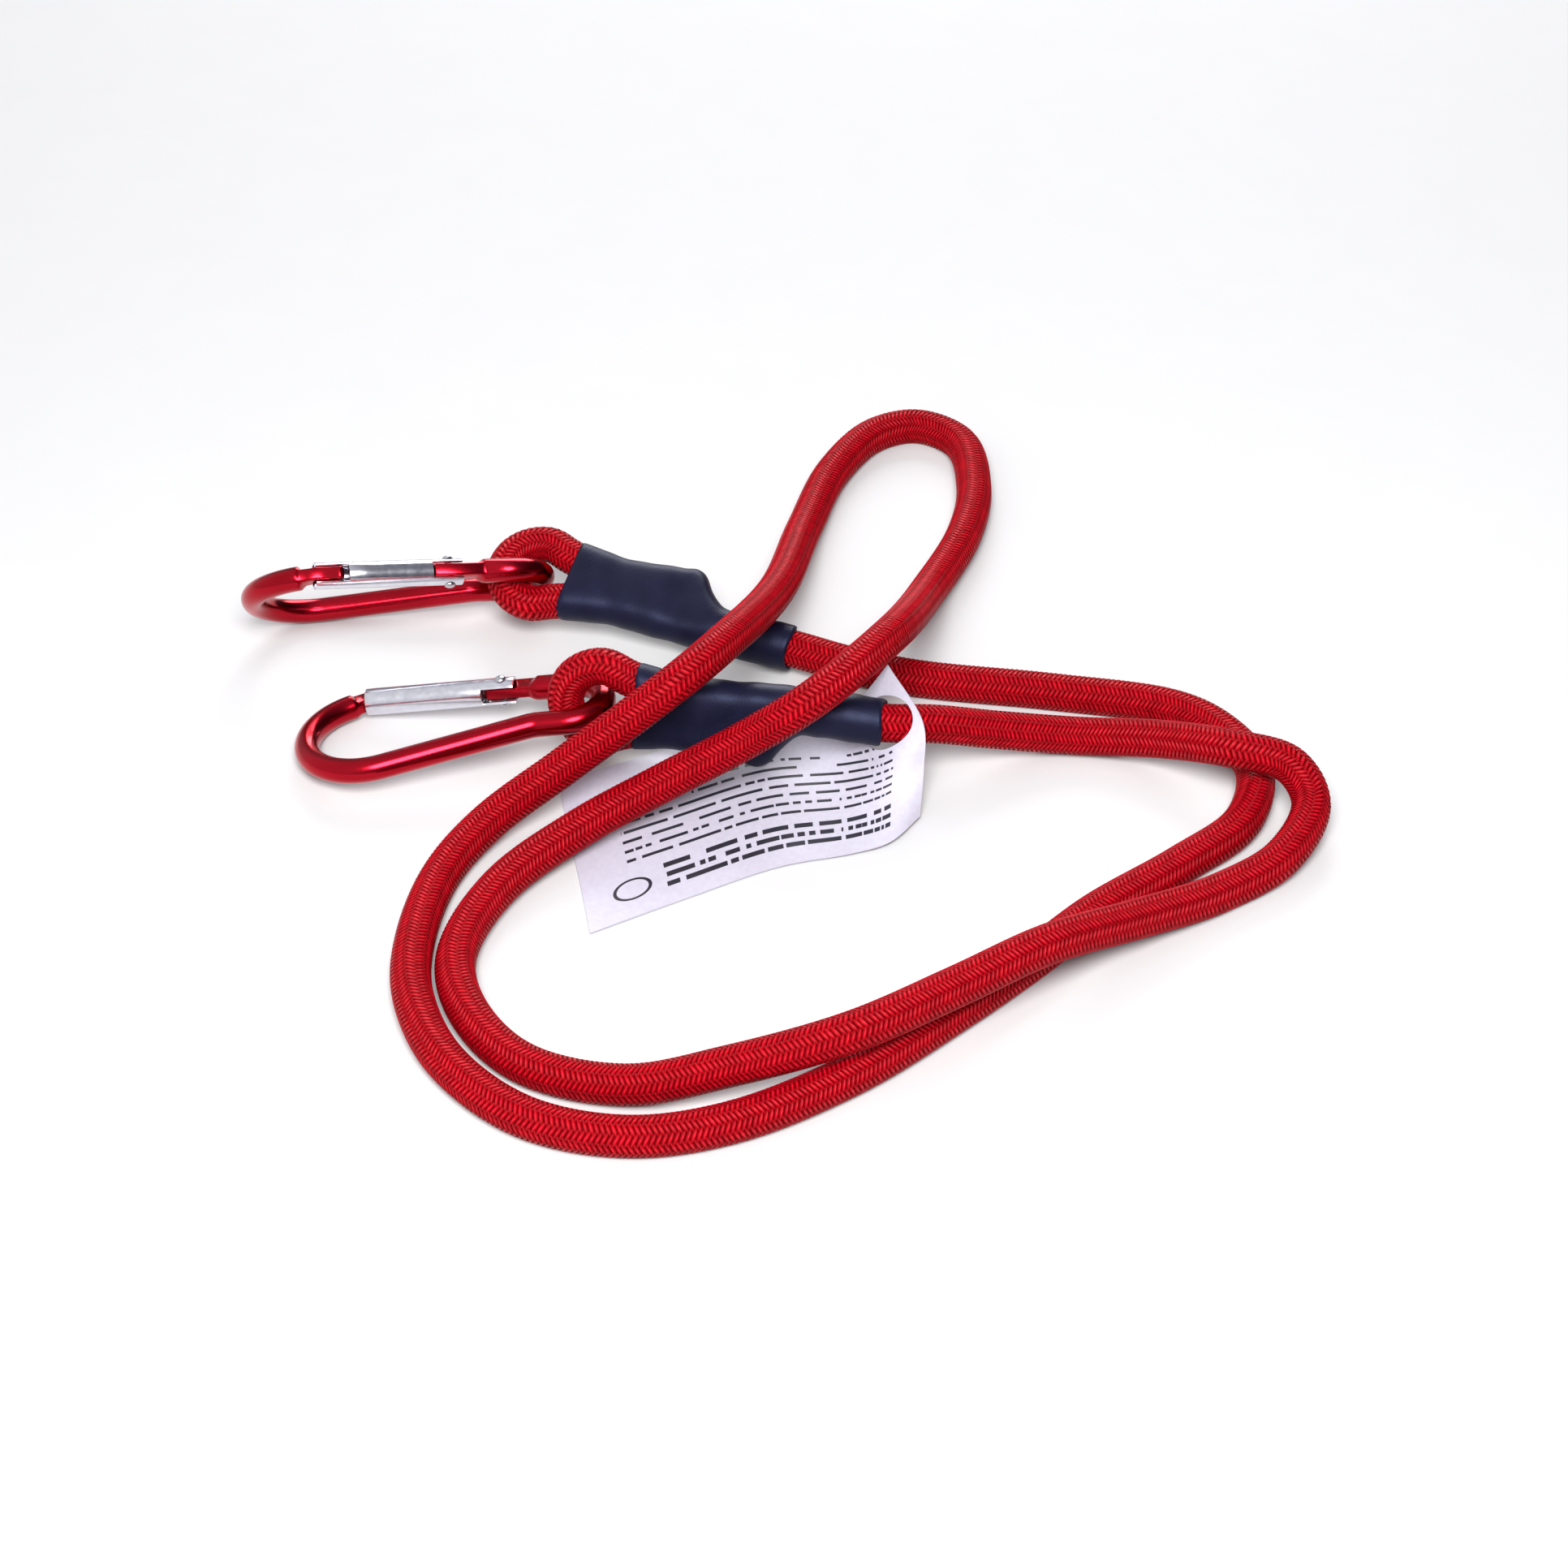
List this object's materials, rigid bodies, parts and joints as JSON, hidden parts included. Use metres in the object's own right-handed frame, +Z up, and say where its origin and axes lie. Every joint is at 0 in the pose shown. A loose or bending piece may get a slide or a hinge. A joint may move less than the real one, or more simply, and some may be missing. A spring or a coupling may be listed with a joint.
{
  "type": "bungee cord with carabiners",
  "caption": "Elastic braided cord in a loose lay, each end folded into a sleeved eye that carries a sprung-gate carabiner, with a blank paper tag.",
  "frame": {"origin": "middle of the footprint of the laid-down cord, on the surface it lies on", "axes": "+Z up, +X towards the bend of the cord that lies furthest from the carabiners, +Y towards the narrow loop"},
  "size_m": [0.2264, 0.2476, 0.0306],
  "materials": {
    "braid": "braided synthetic yarn, slight sheen",
    "rubber": "bundle of natural rubber strands",
    "tag": "thin coated paper",
    "sleeve": "heat-shrunk tube, satin",
    "steel": "zinc plated",
    "frame": "red anodised, glossy",
    "gate": "polished"
  },
  "bodies": {
    "cord": {"cord_cover": "braid", "rubber_core": "rubber", "sleeve_a": "sleeve", "sleeve_b": "sleeve", "clamp_a1": "steel", "clamp_a2": "steel", "clamp_b1": "steel", "clamp_b2": "steel", "tag": "tag"},
    "carabiner_a": {"frame_a": "frame"},
    "gate_a": {"gate_a": "gate", "hinge_rivet_a": "steel", "gate_spring_a": "steel"},
    "plunger_a": {"plunger_a": "steel"},
    "carabiner_b": {"frame_b": "frame"},
    "gate_b": {"gate_b": "gate", "hinge_rivet_b": "steel", "gate_spring_b": "steel"},
    "plunger_b": {"plunger_b": "steel"}
  },
  "joints": [
    {"name": "carabiner_a_swing", "type": "hinge", "parent": "cord", "child": "carabiner_a", "pos_m": [-0.04837, 0.0488, 0.01141], "axis": [-0.0374, -0.3588, 0.9327], "range_deg": [-110, 0]},
    {"name": "gate_a_open", "type": "hinge", "parent": "carabiner_a", "child": "gate_a", "pos_m": [-0.06753, 0.0386, 0.01864], "axis": [0.1252, -0.7603, -0.6374], "range_deg": [0, 35], "stiffness_Nm_per_rad": 0.06, "springref_deg": -28.65},
    {"name": "plunger_a_slide", "type": "slide", "parent": "gate_a", "child": "plunger_a", "axis": [-0.94, -0.2964, 0.1689], "range_m": [0, 0.0006], "deforming": ["gate_spring_a"]},
    {"name": "carabiner_b_swing", "type": "hinge", "parent": "cord", "child": "carabiner_b", "pos_m": [-0.0333, 0.00047, 0.01275], "axis": [0.1491, 0.9645, -0.2178], "range_deg": [0, 110]},
    {"name": "gate_b_open", "type": "hinge", "parent": "carabiner_b", "child": "gate_b", "pos_m": [-0.05473, 0.00987, 0.00841], "axis": [-0.1578, 0.0914, 0.9832], "range_deg": [0, 35], "stiffness_Nm_per_rad": 0.06, "springref_deg": -28.65},
    {"name": "plunger_b_slide", "type": "slide", "parent": "gate_b", "child": "plunger_b", "axis": [-0.9823, 0.0872, -0.1658], "range_m": [0, 0.0006], "deforming": ["gate_spring_b"]}
  ],
  "couplings": [
    {"joint": "plunger_a_slide", "follows": "gate_a_open", "m_per_rad": 0.00098},
    {"joint": "plunger_b_slide", "follows": "gate_b_open", "m_per_rad": 0.00098}
  ]
}
